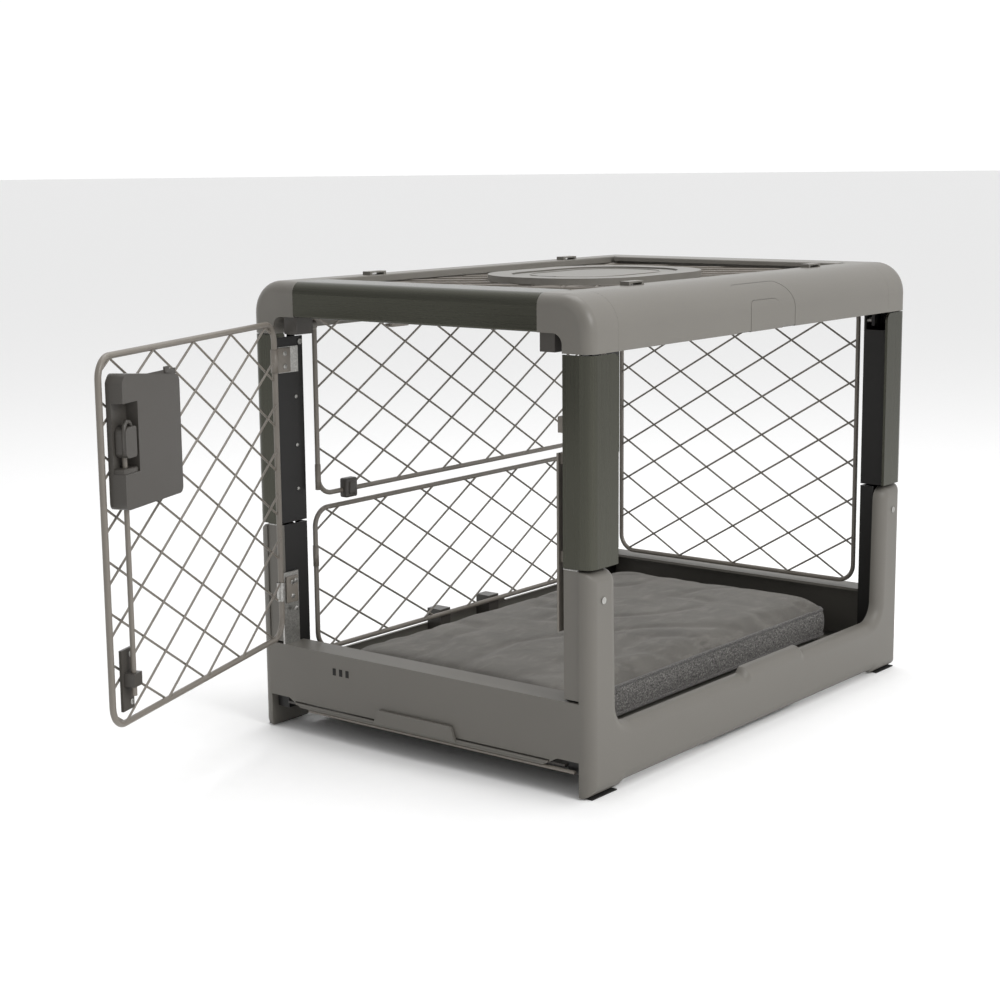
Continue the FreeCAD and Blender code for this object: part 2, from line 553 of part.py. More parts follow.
# ---------------------------------------------------------------- swinging panels
node("rear_panel", solid("rear_panel_mesh", stand(mesh_panel((-reach_x, s.wall_low),
        (reach_x, s.wall_pivot_up), s.bend,
     s.tube_radius), Vector(0, hy - s.wall_in, 0), X, Z)))
door_reach = hy - s.wall_side
side_in = hx - s.upper_lane
node("side_door_panel", solid("side_door_mesh", stand(mesh_panel((-door_reach, 0),
        (door_reach, s.side_door_tall), s.bend,
     s.tube_radius), Vector(side_in, 0, s.side_door_top), Y, -X)))
node("side_door_latches", *[block(f"side_latch_{i}",
                                  (str(side_in - s.side_door_tall + 3.4),
                                   str(side_in - s.side_door_tall + 50)),
     (str(y - 20), str(y + 20)), ("side_door_top - 12", "side_door_top - tube_radius")) for i,
                            y in enumerate((-240, 240))])
node("side_door_hinges", *[block(f"side_hinge_{i}", lane(RIGHT, "upper_lane - 6", "upper_lane + 6"),
                                 (str(y - 15), str(y + 15)),
     ("side_door_top + tube_radius + 0.3", "height - flange_thick")) for i, y in enumerate((-220, 220))])

door_long = s.width - 48 - s.leg_across - s.door_gap
keep = [((-6, 184), (8, 218), 1), ((-6, 500), (8, 546), 1)]
hinge = Vector(-hx + 48, -hy - s.door_axis_out, 0)
swung = FreeCAD.Placement(hinge, FreeCAD.Rotation(Z, -s.door_open))


def on_door(label, *pieces):
    """A node of the door, made with the hinge on the Z axis and the door along X, then swung open."""
    group = doc.addObject("Part::Compound", label + "_swung")
    group.Links = list(pieces)
    group.Placement = swung
    return node(label, group)


on_door("front_door_panel", solid("front_door_mesh",
                                  stand(mesh_panel((0, s.door_low), (door_long, s.door_high), s.bend,
        s.door_tube, keep), Vector(), X, Z)))
far, w = door_long - 7, s.latch_wide
shell = profile("latch_shell", "XZ", [(far - w, s.latch_low, 8), (far - w, s.latch_high - 14, 10),
                                      (far - 8, s.latch_high, 10),
                                      (far, s.latch_high - 10, 6), (far, s.latch_low, 8)],
                                      "door_tube + 0.5", "latch_deep")
pocket = block("latch_pocket", (str(far - 34), str(far + 2)), ("door_tube + 7", "latch_deep + 20"),
               ("latch_low + 42", "latch_high - 34"))
rod_x = door_long - 24
rod_way = rod("rod_way", "z", "latch_low - 2", "latch_low + 44", (str(rod_x), "door_tube + 12"),
              "rod_radius + run_gap")
on_door("latch_housing", cut("latch_shell", shell, pocket, rod_way))
lever = profile("latch_lever_bar", "XZ", [(far - 30, s.latch_low + 60, 4), (far - 30, s.latch_high - 62, 4),
                                          (far - 5, s.latch_high - 62, 8), (far - 5, s.latch_low + 60, 8)],
                                          "door_tube + 8", "14")
on_door("latch_lever", lever)
on_door("lock_rod", rod("lock_bar", "z", "door_low + 36", "latch_low + 60", (str(rod_x), "door_tube + 12"),
                        "rod_radius"))
guide = block("guide_plate", (str(rod_x - 13), str(rod_x + 13)), ("door_tube + 0.5", "door_tube + 4"),
              ("door_low + 18", "door_low + 92"))
clip = block("guide_clip", (str(rod_x - 9), str(rod_x + 9)), ("door_tube + 4", "door_tube + 18"),
             ("door_low + 48", "door_low + 64"))
bore = rod("guide_bore", "z", "door_low", "door_low + 99", (str(rod_x), "door_tube + 12"),
           "rod_radius + run_gap")
on_door("lock_guide", cut("guide", fuse("guide", guide, clip), bore))

doc.recompute()
bad = [o.Label for o in doc.Objects if "Invalid" in o.State or "Error" in o.State]
assert not bad, f"failed objects: {bad}"
os.makedirs("parts", exist_ok=True)
for part in NODES:
    shape = part.Shape
    assert not shape.isNull() and shape.isValid(), f"{part.Label} is not a valid shape"
    shape.exportStep(f"parts/{part.Label}.step")
print(len(NODES), "nodes")
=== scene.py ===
"""Folding wire dog crate with a velvet cushion: finishes, soft cushion, screws and small fittings."""
import json
import math

import bmesh
import bpy
import numpy as np
from mathutils import Matrix, Vector, noise
from mathutils.bvhtree import BVHTree


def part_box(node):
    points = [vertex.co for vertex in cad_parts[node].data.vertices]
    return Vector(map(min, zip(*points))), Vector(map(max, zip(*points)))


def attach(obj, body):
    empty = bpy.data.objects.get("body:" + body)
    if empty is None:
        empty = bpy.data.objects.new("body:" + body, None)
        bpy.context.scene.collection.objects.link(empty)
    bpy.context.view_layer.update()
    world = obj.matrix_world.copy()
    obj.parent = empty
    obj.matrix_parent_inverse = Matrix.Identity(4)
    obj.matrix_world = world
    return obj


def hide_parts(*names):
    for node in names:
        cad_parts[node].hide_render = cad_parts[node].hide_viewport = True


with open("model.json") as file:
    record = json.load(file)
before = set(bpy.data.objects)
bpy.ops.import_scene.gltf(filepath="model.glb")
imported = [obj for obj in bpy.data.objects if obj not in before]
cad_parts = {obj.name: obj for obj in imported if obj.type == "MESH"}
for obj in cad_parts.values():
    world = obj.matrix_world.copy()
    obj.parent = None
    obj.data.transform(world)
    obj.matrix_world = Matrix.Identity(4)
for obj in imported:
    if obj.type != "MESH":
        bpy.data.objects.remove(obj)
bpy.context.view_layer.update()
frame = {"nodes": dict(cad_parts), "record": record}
nodes = frame["nodes"]
MM = 0.001


# ---------------------------------------------------------------- shader maths
class Value:
    """A number that varies over a surface: Python operators on it add Math nodes."""

    def __init__(self, finish, socket):
        self.finish, self.socket = finish, socket

    def _math(self, operation, *terms):
        return self.finish.add("ShaderNodeMath", {"operation": operation}, *terms)

    def __add__(self, other):
        return self._math("ADD", self, other)

    def __sub__(self, other):
        return self._math("SUBTRACT", self, other)

    def __mul__(self, other):
        return self._math("MULTIPLY", self, other)

    def __truediv__(self, other):
        return self._math("DIVIDE", self, other)

    def __rsub__(self, other):
        return self._math("SUBTRACT", other, self)

    def __pow__(self, other):
        return self._math("POWER", self, other)

    __radd__, __rmul__ = __add__, __mul__

    def above(self, level):
        return self._math("GREATER_THAN", self, level)

    def clamp(self):
        return self._math("MAXIMUM", self._math("MINIMUM", self, 1.0), 0.0)


class Finish:
    """One material with its node tree."""

    def __init__(self, name, **shader):
        self.material = bpy.data.materials.new(name)
        self.material.use_nodes = True
        self.tree = self.material.node_tree
        self.shader = self.tree.nodes["Principled BSDF"]
        for socket, value in shader.items():
            self.shader.inputs[socket.replace("_", " ")].default_value = value
        self.place = self.add("ShaderNodeTexCoord", {}, out="Object")

    def add(self, kind, settings, *values, out=0, **named):
        """A node of that kind: settings first, then the values or links of its sockets; returns one output."""
        node = self.tree.nodes.new(kind)
        for key, value in settings.items():
            if key == "stops":
                ramp = node.color_ramp
                while len(ramp.elements) < len(value):
                    ramp.elements.new(1.0)
                for element, (position, colour) in zip(ramp.elements, value):
                    element.position, element.color = position, (*colour, 1)
            else:
                setattr(node, key, value)
        for key, value in [*enumerate(values), *named.items()]:
            socket = node.inputs[key if isinstance(key, int) else key.replace("_", " ")]
            if isinstance(value, Value):
                self.tree.links.new(value.socket, socket)
            elif value is not None:
                socket.default_value = value
        return Value(self, node.outputs[out])

    def feed(self, **named):
        for key, value in named.items():
            self.tree.links.new(value.socket, self.shader.inputs[key.replace("_", " ")])
        return self.material

    def stretched(self, scale, turn=(0, 0, 0)):
        return self.add("ShaderNodeMapping", {}, self.place, None, turn, scale)

    def noise(self, scale, detail=3.0, roughness=0.5, where=None):
        return self.add("ShaderNodeTexNoise", {}, Vector=where or self.place, Scale=scale, Detail=detail,
                        Roughness=roughness)

    def cells(self, scale, where=None, feature="F1"):
        return self.add("ShaderNodeTexVoronoi", {"feature": feature}, Vector=where or self.place, Scale=scale)

    def ramp(self, value, *stops):
        return self.add("ShaderNodeValToRGB", {"stops": stops}, value)

    def mix(self, factor, low, high, blend="MIX"):
        """Two colours mixed; a colour is a link or a tuple."""
        low = low if isinstance(low, Value) else (*low, 1)
        high = high if isinstance(high, Value) else (*high, 1)
        node = self.tree.nodes.new("ShaderNodeMix")
        node.data_type, node.blend_type = "RGBA", blend
        for socket, value in ((node.inputs[0], factor), (node.inputs[6], low), (node.inputs[7], high)):
            if isinstance(value, Value):
                self.tree.links.new(value.socket, socket)
            else:
                socket.default_value = value
        return Value(self, node.outputs[2])

    def bump(self, height, distance, strength=1.0, below=None):
        return self.add("ShaderNodeBump", {}, Height=height, Distance=distance, Strength=strength, Normal=below)


def hexed(code):
    """A web colour as linear values."""
    parts = [int(code[i:i + 2], 16) / 255 for i in (0, 2, 4)]
    return tuple(c / 12.92 if c <= 0.04045 else ((c + 0.055) / 1.055) ** 2.4 for c in parts)


def shade(colour, by):
    return tuple(c * by for c in colour)


# ---------------------------------------------------------------- finishes
def moulded(name, code, grain_depth=0.00009, rough=0.46):
    """Injection-moulded plastic: spark-eroded grain, faint flow clouding, small scuffs."""
    colour = hexed(code)
    f = Finish(name, IOR=1.49, Specular_IOR_Level=0.42)
    cloud = f.noise(7.0, 2.0)
    grain = f.noise(1500.0, 3.0, 0.65)
    pits = f.cells(1050.0)
    scuff = f.noise(60.0, 6.0, 0.7, f.stretched((1.0, 3.5, 0.6), (0.3, 0.5, 0.2)))
    mark = ((scuff - 0.64) * 9.0).clamp()
    tone = f.mix(cloud, shade(colour, 0.93), shade(colour, 1.07))
    speck = f.mix(grain * 0.35, tone, shade(colour, 0.84))
    base = f.mix(mark * 0.22, speck, shade(colour, 1.35))
    height = grain * 0.6 + pits * 0.4
    return f.feed(Base_Color=base, Roughness=(grain - 0.5) * 0.16 + rough + (cloud - 0.5) * 0.1 + mark * 0.12,
                  Normal=f.bump(height, grain_depth, 0.75))


def anodised(name, along):
    """Dark satin aluminium extrusion: fine draw lines along its length."""
    colour = hexed("4c4c44")
    f = Finish(name, Metallic=0.9, Specular_IOR_Level=0.5)
    lines = f.noise(520.0, 3.0, 0.6, f.stretched([0.012 if axis == along else 1.0 for axis in "xyz"]))
    broad = f.noise(90.0, 2.0, 0.5, f.stretched([0.02 if axis == along else 1.0 for axis in "xyz"]))
    cloud = f.noise(5.0)
    tone = f.mix(lines, shade(colour, 0.94), shade(colour, 1.06))
    tone = f.mix(cloud * 0.3, tone, shade(colour, 0.88))
    return f.feed(Base_Color=tone, Roughness=lines * 0.14 + broad * 0.1 + 0.16, Normal=f.bump(lines, 0.00001, 0.3))


def channel_black():
    f = Finish("black_channel_coat", Metallic=0.35, Specular_IOR_Level=0.5)
    grain = f.noise(900.0, 2.0)
    wear = ((f.noise(45.0, 5.0, 0.65) - 0.66) * 8.0).clamp()
    tone = f.mix(wear * 0.4, hexed("1d1c1b"), hexed("4b4a48"))
    return f.feed(Base_Color=tone, Roughness=grain * 0.18 + 0.3 + wear * 0.1, Normal=f.bump(grain, 0.00006, 0.6))


def painted_wire():
    """Powder-coated welded steel: orange peel and a slightly darker tone where the coat is thin."""
    colour = hexed("736d65")
    f = Finish("powder_coated_wire", IOR=1.5, Specular_IOR_Level=0.55, Coat_Roughness=0.3)
    peel = f.noise(620.0, 2.0, 0.45)
    cloud = f.noise(16.0, 3.0)
    chip = ((f.noise(150.0, 4.0, 0.7) - 0.73) * 14.0).clamp()
    tone = f.mix(cloud, shade(colour, 0.86), shade(colour, 1.08))
    tone = f.mix(chip * 0.5, tone, hexed("4d4a46"))
    return f.feed(Base_Color=tone, Roughness=peel * 0.15 + 0.3 + chip * 0.2, Normal=f.bump(peel, 0.00014, 0.7))


def zinc_steel():
    f = Finish("zinc_plated_steel", Metallic=0.95)
    fleck = f.cells(420.0)
    streak = f.noise(240.0, 4.0, 0.6)
    tone = f.mix(fleck, hexed("8f8e8b"), hexed("b9b8b4"))
    return f.feed(Base_Color=tone, Roughness=streak * 0.22 + 0.22, Normal=f.bump(streak, 0.00003, 0.6))


def rubber():
    f = Finish("ribbed_rubber", Specular_IOR_Level=0.3)
    grain = f.noise(1300.0, 3.0)
    tone = f.mix(grain, hexed("161515"), hexed("2b2a29"))
    return f.feed(Base_Color=tone, Roughness=grain * 0.15 + 0.66, Normal=f.bump(grain, 0.00012, 0.8))


def cushion_cloth():
    """Short velvet pile on the top, heathered tweed on the boxing, told apart by the boxing attribute."""
    f = Finish("cushion_velvet_and_tweed", Sheen_Weight=0.5, Sheen_Roughness=0.42, Specular_IOR_Level=0.2,
               Sheen_Tint=(0.46, 0.45, 0.43, 1))
    side = f.add("ShaderNodeAttribute", {"attribute_name": "boxing"}, out="Fac")
    pile = f.noise(2600.0, 2.0, 0.6)
    crush = f.noise(9.0, 4.0, 0.6, f.stretched((1.0, 2.2, 1.0), (0, 0, 0.5)))
    rub = f.noise(34.0, 5.0, 0.62, f.stretched((2.6, 0.8, 1.0), (0, 0, 0.9)))
    velvet = f.mix(crush, hexed("4a4845"), hexed("7b7872"))
    velvet = f.mix(((rub - 0.52) * 3.5).clamp() * 0.6, velvet, hexed("918d87"))
    velvet = f.mix(pile * 0.4, velvet, hexed("3a3836"))
    along = f.stretched((0.707, 0.707, 1.0))
    warp = f.noise(880.0, 2.0, 0.6, f.stretched((1.0, 1.0, 0.35)))
    weft = f.noise(880.0, 2.0, 0.6, f.stretched((0.35, 0.35, 1.0)))
    slub = f.cells(420.0, along)
    tweed = f.ramp(warp * 0.5 + weft * 0.5, (0.38, hexed("2c2b2b")), (0.5, hexed("6c6a68")), (0.6, hexed("a7a4a0")))
    tweed = f.mix(slub * 0.7, tweed, hexed("4a4947"))
    height = f.mix(side, pile, warp * 0.5 + weft * 0.5)
    soft = f.bump(crush * 0.6 + rub * 0.4, 0.0022, 0.7)
    return f.feed(Base_Color=f.mix(side, velvet, tweed), Roughness=pile * 0.1 + 0.76 + side * 0.06,
                  Normal=f.bump(height, 0.0005, 0.8, soft))


def piping_cloth():
    f = Finish("piping_tweed", Sheen_Weight=0.3, Sheen_Roughness=0.5, Specular_IOR_Level=0.2)
    twist = f.noise(1100.0, 2.0, 0.6, f.stretched((1.0, 1.0, 0.4), (0.6, 0.6, 0.6)))
    tone = f.ramp(twist, (0.35, hexed("2a2929")), (0.55, hexed("5d5b59")), (0.68, hexed("8d8a86")))
    return f.feed(Base_Color=tone, Roughness=twist * 0.1 + 0.8, Normal=f.bump(twist, 0.0004, 0.8))


FINISHES = {
    # the base plastic is the same plastic as the roof; its colour is a few percent darker than the roof's, as painted
    # shade
    "base_plastic": moulded("base_plastic_painted_shade", "696660"),
    "roof_plastic": moulded("roof_moulded_plastic", "6d6a64", 0.00007, 0.4),
    "anodised": anodised("anodised_post", "z"),
    "black_channel": channel_black(),
    "painted_wire": painted_wire(),
    "dark_plastic": moulded("lock_moulded_plastic", "45423e", 0.00006, 0.36),
    "steel": zinc_steel(),
    "rubber": rubber(),
    "cushion_fabric": cushion_cloth(),
}
PIPING = piping_cloth()
BEAM = anodised("anodised_beam", "x")
for part in frame["record"]["subparts"]:
    mesh = nodes[part["node"]].data
    mesh.materials.clear()
    mesh.materials.append(BEAM if part["node"] == "front_beam" else FINISHES[part["material_slot"]])


# ---------------------------------------------------------------- pieces
def piece(name, mesh, body, slot, material=None):
    obj = bpy.data.objects.new(name, mesh)
    bpy.context.scene.collection.objects.link(obj)
    mesh.materials.clear()
    mesh.materials.append(material or FINISHES[slot])
    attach(obj, body)
    return obj


def from_bmesh(bm, name, smooth=True):
    mesh = bpy.data.meshes.new(name)
    bmesh.ops.recalc_face_normals(bm, faces=bm.faces)
    bm.to_mesh(mesh)
    bm.free()
    for polygon in mesh.polygons:
        polygon.use_smooth = smooth
    return mesh


def tube(points, radius, closed=False, sides=14):
    """A swept round bar through the points as a bmesh."""
    bm = bmesh.new()
    count = len(points)
    rings = []
    side = None
    for i, p in enumerate(points):
        p = Vector(p)
        ahead = Vector(points[(i + 1) % count]) if closed or i + 1 < count else p
        behind = Vector(points[i - 1]) if closed or i else p
        along = (ahead - behind).normalized()
        if side is None:
            side = along.orthogonal().normalized()
        side = (side - along * side.dot(along)).normalized()
        other = along.cross(side)
        rings.append([bm.verts.new(p + (side * math.cos(a) + other * math.sin(a)) * radius)
                      for a in (2 * math.pi * k / sides for k in range(sides))])
    pairs = list(zip(rings, rings[1:])) + ([(rings[-1], rings[0])] if closed else [])
    for a, b in pairs:
        for k in range(sides):
            bm.faces.new((a[k], a[(k + 1) % sides], b[(k + 1) % sides], b[k]))
    if not closed:
        bm.faces.new(rings[0])
        bm.faces.new(list(reversed(rings[-1])))
    return bm


# ---------------------------------------------------------------- cushion
low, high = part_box("cushion")
half_x, half_y, base_z, top_z = high.x, high.y, low.z, high.z
CORNER = 0.030
PROUD = 0.008


def outline(half_a, half_b, corner, per_corner=10, waist=0.0):
    """Points round a rectangle with rounded corners whose sides draw in by waist between the corners."""
    points = []
    for cx, cy, start in ((1, 1, 0), (-1, 1, 90), (-1, -1, 180), (1, -1, 270)):
        for k in range(per_corner + 1):
            a = math.radians(start + 90 * k / per_corner)
            points.append((cx * (half_a - corner) + corner * math.cos(a), cy * (half_b - corner) + corner * math.sin(a)))
    out = []
    for i, (x, y) in enumerate(points):
        nx, ny = points[(i + 1) % len(points)]
        steps = max(1, int(math.hypot(nx - x, ny - y) / 0.02))
        out += [(x + (nx - x) * k / steps, y + (ny - y) * k / steps) for k in range(steps)]
    drawn = []
    for x, y in out:
        u, v = 1 - min(1, abs(x) / half_a) ** 2, 1 - min(1, abs(y) / half_b) ** 2
        pull_x, pull_y = (v, 0) if abs(x) > half_a * 0.9 else (0, u)
        if abs(x) > half_a * 0.9 and abs(y) > half_b * 0.9:
            pull_x = pull_y = 0
        drawn.append((x - math.copysign(waist * pull_x, x), y - math.copysign(waist * pull_y, y)))
    return drawn


def cushion_shell():
    """The sewn cover before it is filled: a closed form a little smaller than the finished cushion."""
    bm = bmesh.new()
    loop = outline(half_x - 0.001, half_y - 0.001, CORNER, waist=0.003)
    levels = [(base_z + 0.002, 0.012), (base_z + 0.008, 0.003), (base_z + 0.028, 0.001), (top_z - 0.028, 0.001),
              (top_z - 0.017, 0.003), (top_z - 0.011, 0.012)]
    rings = [[bm.verts.new((x * (1 - inset / half_x), y * (1 - inset / half_y), z)) for x, y in loop]
             for z, inset in levels]
    count = len(loop)
    for a, b in zip(rings, rings[1:]):
        for k in range(count):
            bm.faces.new((a[k], a[(k + 1) % count], b[(k + 1) % count], b[k]))
    bm.faces.new(list(reversed(rings[0])))
    bm.faces.new(rings[-1])
    return bm


def fill_cushion():
    mesh = from_bmesh(cushion_shell(), "cushion_cover_mesh")
    cover = bpy.data.objects.new("cushion_cover", mesh)
    bpy.context.scene.collection.objects.link(cover)
    remesh = cover.modifiers.new("remesh", "REMESH")
    remesh.mode, remesh.voxel_size = "VOXEL", 0.006
    bpy.context.view_layer.update()
    start = bpy.data.meshes.new_from_object(cover.evaluated_get(bpy.context.evaluated_depsgraph_get()))
    cover.modifiers.clear()
    cover.data = start
    rest = np.array([v.co for v in start.vertices])
    cloth = cover.modifiers.new("fill", "CLOTH")
    cloth.settings.use_pressure = True
    cloth.settings.uniform_pressure_force = 4.0
    cloth.settings.quality = 5
    cloth.settings.mass = 0.3
    cloth.settings.effector_weights.gravity = 0.0
    for number in range(1, 21):
        bpy.context.scene.frame_set(number)
    evaluated = cover.evaluated_get(bpy.context.evaluated_depsgraph_get())
    moved = np.array([v.co for v in evaluated.data.vertices])
    cover.modifiers.clear()
    bpy.context.scene.frame_set(1)
    shift = moved - rest
    length = np.linalg.norm(shift, axis=1, keepdims=True)
    shift *= np.minimum(1.0, 0.012 / np.maximum(length, 1e-9))
    new = rest + shift
    new[:, 2] = np.where(rest[:, 2] < base_z + 0.006, rest[:, 2], new[:, 2])
    for i, (x, y, z) in enumerate(new):
        u, v = min(1, abs(x) / half_x), min(1, abs(y) / half_y)
        if z > top_z - 0.03:
            crown = (1 - u ** 4) * (1 - v ** 4)
            fold = noise.fractal(Vector((x * 7.0 + y * 2.0, y * 4.5 - x * 2.2, 1.3)), 0.9, 2.0, 3)
            ridge = abs(noise.noise(Vector((x * 9.0 - y * 5.0, y * 5.0 + x * 2.0, 7.1))))
            new[i, 2] = z + 0.0065 * crown + crown * (0.0032 * fold - 0.0045 * max(0.0, 0.12 - ridge) / 0.12)
        elif base_z + 0.01 < z:
            pucker = noise.noise(Vector((x * 26.0, y * 26.0, z * 30.0)))
            new[i, 0] = x * (1 + 0.004 * pucker)
            new[i, 1] = y * (1 + 0.0025 * pucker)
    new[:, 0] = np.clip(new[:, 0], -half_x - PROUD, half_x + PROUD)
    new[:, 1] = np.clip(new[:, 1], -half_y - PROUD, half_y + PROUD)
    new[:, 2] = np.clip(new[:, 2], base_z, top_z + PROUD)
    start.vertices.foreach_set("co", new.astype(np.float32).ravel())
    start.update()
    smooth = cover.modifiers.new("smooth", "SMOOTH")
    smooth.factor, smooth.iterations = 0.5, 3
    subdivide = cover.modifiers.new("finish", "SUBSURF")
    subdivide.levels = subdivide.render_levels = 1
    bpy.context.view_layer.update()
    final = bpy.data.meshes.new_from_object(cover.evaluated_get(bpy.context.evaluated_depsgraph_get()))
    bpy.data.objects.remove(cover)
    final.name = "velvet_cushion"
    return final


SEAM_UP = top_z - 0.017
cushion_mesh = fill_cushion()
side_mask = [min(1.0, max(0.0, (SEAM_UP - v.co.z) / 0.003)) for v in cushion_mesh.vertices]
boxing = cushion_mesh.attributes.new("boxing", "FLOAT", "POINT")
boxing.data.foreach_set("value", side_mask)
for polygon in cushion_mesh.polygons:
    polygon.use_smooth = True
cushion = piece("velvet_cushion", cushion_mesh, "base", "cushion_fabric")
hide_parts("cushion")

skin = BVHTree.FromPolygons([v.co.copy() for v in cushion_mesh.vertices], [tuple(p.vertices) for p in cushion_mesh.polygons])


def seam_path(up):
    """Where the cover's edge lies at that height, found from outside."""
    path = []
    for x, y in outline(half_x, half_y, CORNER, per_corner=14):
        out = Vector((x, y, up))
        inward = Vector((-x, -y, 0))
        if abs(x) > half_x - CORNER and abs(y) > half_y - CORNER:
            inward = Vector((math.copysign(half_x - CORNER, x) - x, math.copysign(half_y - CORNER, y) - y, 0))
        elif abs(x) / half_x > abs(y) / half_y:
            inward = Vector((-x, 0, 0))
        elif y:
            inward = Vector((0, -y, 0))
        hit = skin.ray_cast(out - inward.normalized() * 0.05, inward.normalized())[0]
        if hit is not None:
            path.append(hit)
    return path


for label, up in (("cushion_top_piping", SEAM_UP), ("cushion_base_piping", base_z + 0.011)):
    cord_mesh = from_bmesh(tube(seam_path(up), 0.0026, closed=True, sides=10), label)
    cord_piece = piece(label, cord_mesh, "base", "cushion_fabric", PIPING)


# ---------------------------------------------------------------- screws and rivets
def group(name, *inputs):
    tree = bpy.data.node_groups.new(name, "GeometryNodeTree")
    tree.is_modifier = True
    tree.interface.new_socket("Geometry", in_out="INPUT", socket_type="NodeSocketGeometry")
    for label, kind in inputs:
        tree.interface.new_socket(label, in_out="INPUT", socket_type="NodeSocket" + kind)
    tree.interface.new_socket("Geometry", in_out="OUTPUT", socket_type="NodeSocketGeometry")
    return tree, tree.nodes.new("NodeGroupInput"), tree.nodes.new("NodeGroupOutput")


def add(tree, kind, links=(), **settings):
    """A geometry node with its settings, then links or values for its sockets by index or name."""
    node = tree.nodes.new(kind)
    for key, value in settings.items():
        setattr(node, key, value)
    for key, value in links:
        if isinstance(value, bpy.types.NodeSocket):
            tree.links.new(value, node.inputs[key])
        else:
            node.inputs[key].default_value = value
    return node


def screw_tree():
    """Pan-head cross-recess screws, one at each point, turned to its facing vector."""
    tree, given, result = group("cross_screws", ("Head Radius", "Float"), ("Head Height", "Float"),
                                ("Slot Width", "Float"), ("Finish", "Material"))
    radius, height = given.outputs["Head Radius"], given.outputs["Head Height"]
    slot, finish = given.outputs["Slot Width"], given.outputs["Finish"]
    disc = add(tree, "GeometryNodeMeshCylinder", [("Vertices", 20), ("Radius", radius), ("Depth", height)])
    dome = add(tree, "GeometryNodeMeshUVSphere", [("Segments", 20), ("Rings", 10), ("Radius", radius)])
    flat = add(tree, "ShaderNodeCombineXYZ", [("X", 1.0), ("Y", 1.0), ("Z", 0.42)])
    cap = add(tree, "GeometryNodeTransform", [("Geometry", dome.outputs["Mesh"]), ("Scale", flat.outputs[0])])
    whole = add(tree, "GeometryNodeMeshBoolean", [("Mesh 2", disc.outputs["Mesh"])], operation="UNION")
    tree.links.new(cap.outputs["Geometry"], whole.inputs["Mesh 2"])
    long = add(tree, "ShaderNodeMath", [(0, radius), (1, 1.25)], operation="MULTIPLY")
    lift = add(tree, "ShaderNodeMath", [(0, radius), (1, 0.42)], operation="MULTIPLY")
    cuts = []
    for first, second in ((long, None), (None, long)):
        size = add(tree, "ShaderNodeCombineXYZ", [("X", first.outputs[0] if first else slot),
                                                  ("Y", second.outputs[0] if second else slot),
                                                  ("Z", lift.outputs[0])])
        bar = add(tree, "GeometryNodeMeshCube", [("Size", size.outputs[0])])
        up = add(tree, "ShaderNodeCombineXYZ", [("Z", lift.outputs[0])])
        cuts.append(add(tree, "GeometryNodeTransform", [("Geometry", bar.outputs["Mesh"]),
                                                        ("Translation", up.outputs[0])]))
    head = add(tree, "GeometryNodeMeshBoolean", [("Mesh 1", whole.outputs["Mesh"])], operation="DIFFERENCE")
    for c in cuts:
        tree.links.new(c.outputs["Geometry"], head.inputs["Mesh 2"])
    facing = add(tree, "GeometryNodeInputNamedAttribute", [("Name", "facing")], data_type="FLOAT_VECTOR")
    turn = add(tree, "FunctionNodeAlignRotationToVector", [("Vector", facing.outputs["Attribute"])], axis="Z")
    spin = add(tree, "FunctionNodeRandomValue", [("Min", 0.0), ("Max", 1.5), ("Seed", 4)], data_type="FLOAT")
    spun = add(tree, "ShaderNodeCombineXYZ", [("Z", spin.outputs[1])])
    local = add(tree, "FunctionNodeRotateRotation", [("Rotation", turn.outputs[0]), ("Rotate By", spun.outputs[0])],
                rotation_space="LOCAL")
    spread = add(tree, "GeometryNodeInstanceOnPoints", [("Points", given.outputs["Geometry"]),
                                                        ("Instance", head.outputs["Mesh"]),
                                                        ("Rotation", local.outputs[0])])
    real = add(tree, "GeometryNodeRealizeInstances", [("Geometry", spread.outputs["Instances"])])
    dressed = add(tree, "GeometryNodeSetMaterial", [("Geometry", real.outputs["Geometry"]), ("Material", finish)])
    tree.links.new(dressed.outputs["Geometry"], result.inputs["Geometry"])
    return tree


def rivet_tree():
    """Low domed rivets, one at each point, turned to its facing vector."""
    tree, given, result = group("domed_rivets", ("Radius", "Float"), ("Rise", "Float"), ("Finish", "Material"))
    dome = add(tree, "GeometryNodeMeshUVSphere", [("Segments", 20), ("Rings", 12), ("Radius", 1.0)])
    size = add(tree, "ShaderNodeCombineXYZ", [("X", given.outputs["Radius"]), ("Y", given.outputs["Radius"]),
                                              ("Z", given.outputs["Rise"])])
    shaped = add(tree, "GeometryNodeTransform", [("Geometry", dome.outputs["Mesh"]), ("Scale", size.outputs[0])])
    facing = add(tree, "GeometryNodeInputNamedAttribute", [("Name", "facing")], data_type="FLOAT_VECTOR")
    turn = add(tree, "FunctionNodeAlignRotationToVector", [("Vector", facing.outputs["Attribute"])], axis="Z")
    spread = add(tree, "GeometryNodeInstanceOnPoints", [("Points", given.outputs["Geometry"]),
                                                        ("Instance", shaped.outputs["Geometry"]),
                                                        ("Rotation", turn.outputs[0])])
    real = add(tree, "GeometryNodeRealizeInstances", [("Geometry", spread.outputs["Instances"])])
    dressed = add(tree, "GeometryNodeSetMaterial", [("Geometry", real.outputs["Geometry"]),
                                                    ("Material", given.outputs["Finish"])])
    tree.links.new(dressed.outputs["Geometry"], result.inputs["Geometry"])
    return tree


